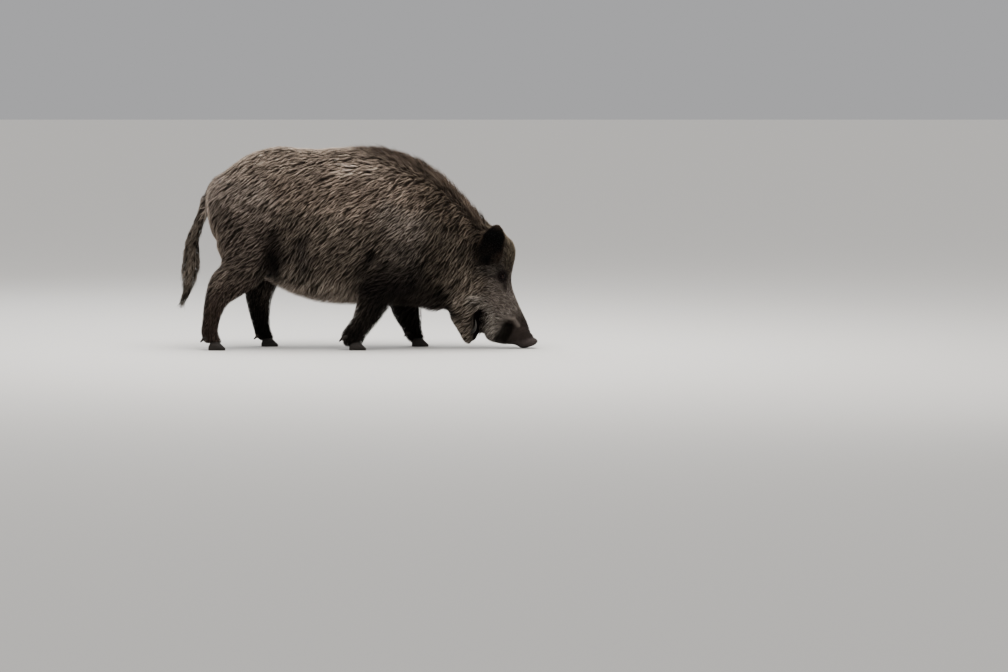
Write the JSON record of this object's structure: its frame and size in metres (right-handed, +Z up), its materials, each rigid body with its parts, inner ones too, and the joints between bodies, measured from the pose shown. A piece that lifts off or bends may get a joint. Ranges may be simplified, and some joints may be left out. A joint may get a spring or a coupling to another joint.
{
  "type": "wild boar",
  "caption": "Life-size museum model of an adult male wild boar in winter coat, walking with its head lowered and its snout rooting at the ground.",
  "frame": {"origin": "middle of the model's bounding box in plan, at the level of its soles", "axes": "+X the way the animal faces, +Y its left side, +Z up"},
  "size_m": [1.478, 0.4042, 0.83],
  "materials": {
    "body_coat": "coarse brown-grey bristles with tan tips over dark underfur",
    "neck_coat": "long dark mane of bristles, reddish brown at the crest",
    "face_coat": "short grey-brown bristles",
    "leg_coat": "short black bristles",
    "tail_coat": "grey-brown bristles with a darker tassel",
    "ear": "black inside with a dark brown fringe",
    "nose": "moist purplish grey-brown skin",
    "hoof": "dull black horn",
    "tusk": "polished ivory, stained at the root",
    "eye": "wet dark brown, nearly black"
  },
  "bodies": {
    "root": {"head": "face_coat", "left_ear": "ear", "left_eye": "eye", "left_fore_claw_inner": "hoof", "left_fore_claw_outer": "hoof", "left_fore_dewclaw_inner": "hoof", "left_fore_dewclaw_outer": "hoof", "left_fore_lower_leg": "leg_coat", "left_fore_upper_leg": "body_coat", "left_hind_claw_inner": "hoof", "left_hind_claw_outer": "hoof", "left_hind_dewclaw_inner": "hoof", "left_hind_dewclaw_outer": "hoof", "left_hind_lower_leg": "leg_coat", "left_hind_upper_leg": "body_coat", "left_tusk": "tusk", "lower_jaw": "face_coat", "neck": "neck_coat", "nose_disc": "nose", "right_ear": "ear", "right_eye": "eye", "right_fore_claw_inner": "hoof", "right_fore_claw_outer": "hoof", "right_fore_dewclaw_inner": "hoof", "right_fore_dewclaw_outer": "hoof", "right_fore_lower_leg": "leg_coat", "right_fore_upper_leg": "body_coat", "right_hind_claw_inner": "hoof", "right_hind_claw_outer": "hoof", "right_hind_dewclaw_inner": "hoof", "right_hind_dewclaw_outer": "hoof", "right_hind_lower_leg": "leg_coat", "right_hind_upper_leg": "body_coat", "right_tusk": "tusk", "tail": "tail_coat", "tail_tuft": "tail_coat", "trunk": "body_coat"}
  },
  "joints": []
}
